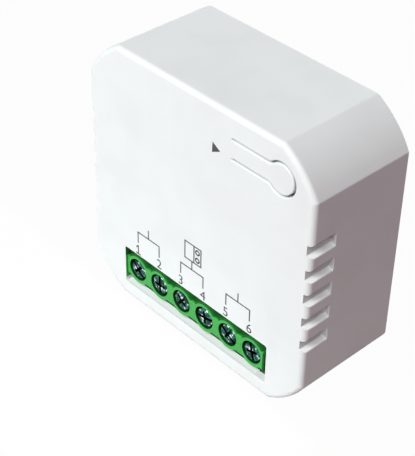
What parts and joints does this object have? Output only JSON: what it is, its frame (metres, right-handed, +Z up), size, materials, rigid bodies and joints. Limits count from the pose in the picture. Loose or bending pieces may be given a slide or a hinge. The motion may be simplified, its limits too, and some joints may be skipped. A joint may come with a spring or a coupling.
{
  "type": "garage door controller",
  "caption": "Flush-box garage door controller: rounded square white casing with a green screw terminal block, a sprung button tongue and side grooves.",
  "frame": {"origin": "middle of the footprint, on the underside of the bottom wall", "axes": "+X to the right seen from the front, +Y from the front face to the back cover, +Z up, with the terminals at the bottom"},
  "size_m": [0.0454, 0.0186, 0.045],
  "materials": {
    "casing_white": "fine satin moulded white",
    "board_laminate": "solder-masked glass laminate",
    "board_laminate_dark": "dark solder-masked laminate",
    "terminal_green": "satin glossy green nylon",
    "tinned_brass": "bright tin plate",
    "black_plastic": "satin black moulding",
    "bright_steel": "tinned sheet",
    "lamp_blue": "clear tinted resin",
    "winding_tape": "yellow polyester tape",
    "copper_wire": "enamelled copper",
    "ferrite": "sintered dark grey",
    "capacitor_sleeve": "sleeved can",
    "bung_rubber": "matt rubber",
    "resistor_coat": "cement coat",
    "varistor_coat": "epoxy dip",
    "screw_steel": "zinc-plated, bright",
    "cage_steel": "zinc-plated"
  },
  "bodies": {
    "housing": {"front_shell": "casing_white", "back_cover": "casing_white", "main_board": "board_laminate", "terminal_housing": "terminal_green", "contact_plates": "tinned_brass", "switch_base": "black_plastic", "switch_cover": "bright_steel", "switch_legs": "tinned_brass", "indicator_lamp": "lamp_blue", "lamp_legs": "tinned_brass", "relay_case": "black_plastic", "relay_base": "black_plastic", "relay_pins": "tinned_brass", "transformer_bobbin": "black_plastic", "transformer_winding": "winding_tape", "transformer_core": "ferrite", "transformer_pins": "tinned_brass", "bulk_capacitors": "capacitor_sleeve", "output_capacitor": "capacitor_sleeve", "capacitor_bungs": "bung_rubber", "capacitor_leads": "tinned_brass", "fuse_resistor": "resistor_coat", "varistor": "varistor_coat", "choke_core": "ferrite", "choke_winding": "copper_wire", "input_leads": "tinned_brass", "bridge_rectifier": "black_plastic", "converter_chip": "black_plastic", "voltage_regulator": "black_plastic", "chip_legs": "tinned_brass", "radio_board": "board_laminate_dark", "radio_shield": "bright_steel", "radio_aerial": "copper_wire"},
    "tongue": {"button_tongue": "casing_white"},
    "stem": {"switch_stem": "black_plastic"},
    "screw_1": {"terminal_screw_1": "screw_steel"},
    "cage_1": {"clamp_cage_1": "cage_steel"},
    "screw_2": {"terminal_screw_2": "screw_steel"},
    "cage_2": {"clamp_cage_2": "cage_steel"},
    "screw_3": {"terminal_screw_3": "screw_steel"},
    "cage_3": {"clamp_cage_3": "cage_steel"},
    "screw_4": {"terminal_screw_4": "screw_steel"},
    "cage_4": {"clamp_cage_4": "cage_steel"},
    "screw_5": {"terminal_screw_5": "screw_steel"},
    "cage_5": {"clamp_cage_5": "cage_steel"},
    "screw_6": {"terminal_screw_6": "screw_steel"},
    "cage_6": {"clamp_cage_6": "cage_steel"}
  },
  "joints": [
    {"name": "tongue_flex", "type": "hinge", "parent": "housing", "child": "tongue", "pos_m": [0.00743, -0.00855, 0.03953], "axis": [0, 0, 1], "range_deg": [0, 1.86], "stiffness_Nm_per_rad": 0.2},
    {"name": "stem_press", "type": "slide", "parent": "housing", "child": "stem", "axis": [0, 1, 0], "range_m": [0, 0.00025]},
    {"name": "screw_1_turn", "type": "hinge", "parent": "housing", "child": "screw_1", "pos_m": [-0.0129, 0, 0.00635], "axis": [0, 1, 0], "range_deg": [0, 1660]},
    {"name": "cage_1_rise", "type": "slide", "parent": "housing", "child": "cage_1", "axis": [0, -1, 0], "range_m": [0, 0.0023]},
    {"name": "screw_2_turn", "type": "hinge", "parent": "housing", "child": "screw_2", "pos_m": [-0.00782, 0, 0.00635], "axis": [0, 1, 0], "range_deg": [0, 1660]},
    {"name": "cage_2_rise", "type": "slide", "parent": "housing", "child": "cage_2", "axis": [0, -1, 0], "range_m": [0, 0.0023]},
    {"name": "screw_3_turn", "type": "hinge", "parent": "housing", "child": "screw_3", "pos_m": [-0.00274, 0, 0.00635], "axis": [0, 1, 0], "range_deg": [0, 1660]},
    {"name": "cage_3_rise", "type": "slide", "parent": "housing", "child": "cage_3", "axis": [0, -1, 0], "range_m": [0, 0.0023]},
    {"name": "screw_4_turn", "type": "hinge", "parent": "housing", "child": "screw_4", "pos_m": [0.00234, 0, 0.00635], "axis": [0, 1, 0], "range_deg": [0, 1660]},
    {"name": "cage_4_rise", "type": "slide", "parent": "housing", "child": "cage_4", "axis": [0, -1, 0], "range_m": [0, 0.0023]},
    {"name": "screw_5_turn", "type": "hinge", "parent": "housing", "child": "screw_5", "pos_m": [0.00742, 0, 0.00635], "axis": [0, 1, 0], "range_deg": [0, 1660]},
    {"name": "cage_5_rise", "type": "slide", "parent": "housing", "child": "cage_5", "axis": [0, -1, 0], "range_m": [0, 0.0023]},
    {"name": "screw_6_turn", "type": "hinge", "parent": "housing", "child": "screw_6", "pos_m": [0.0125, 0, 0.00635], "axis": [0, 1, 0], "range_deg": [0, 1660]},
    {"name": "cage_6_rise", "type": "slide", "parent": "housing", "child": "cage_6", "axis": [0, -1, 0], "range_m": [0, 0.0023]}
  ],
  "couplings": [
    {"joint": "tongue_flex", "follows": "stem_press", "rad_per_m": 128.7},
    {"joint": "screw_1_turn", "follows": "cage_1_rise", "rad_per_m": 12566},
    {"joint": "screw_2_turn", "follows": "cage_2_rise", "rad_per_m": 12566},
    {"joint": "screw_3_turn", "follows": "cage_3_rise", "rad_per_m": 12566},
    {"joint": "screw_4_turn", "follows": "cage_4_rise", "rad_per_m": 12566},
    {"joint": "screw_5_turn", "follows": "cage_5_rise", "rad_per_m": 12566},
    {"joint": "screw_6_turn", "follows": "cage_6_rise", "rad_per_m": 12566}
  ]
}
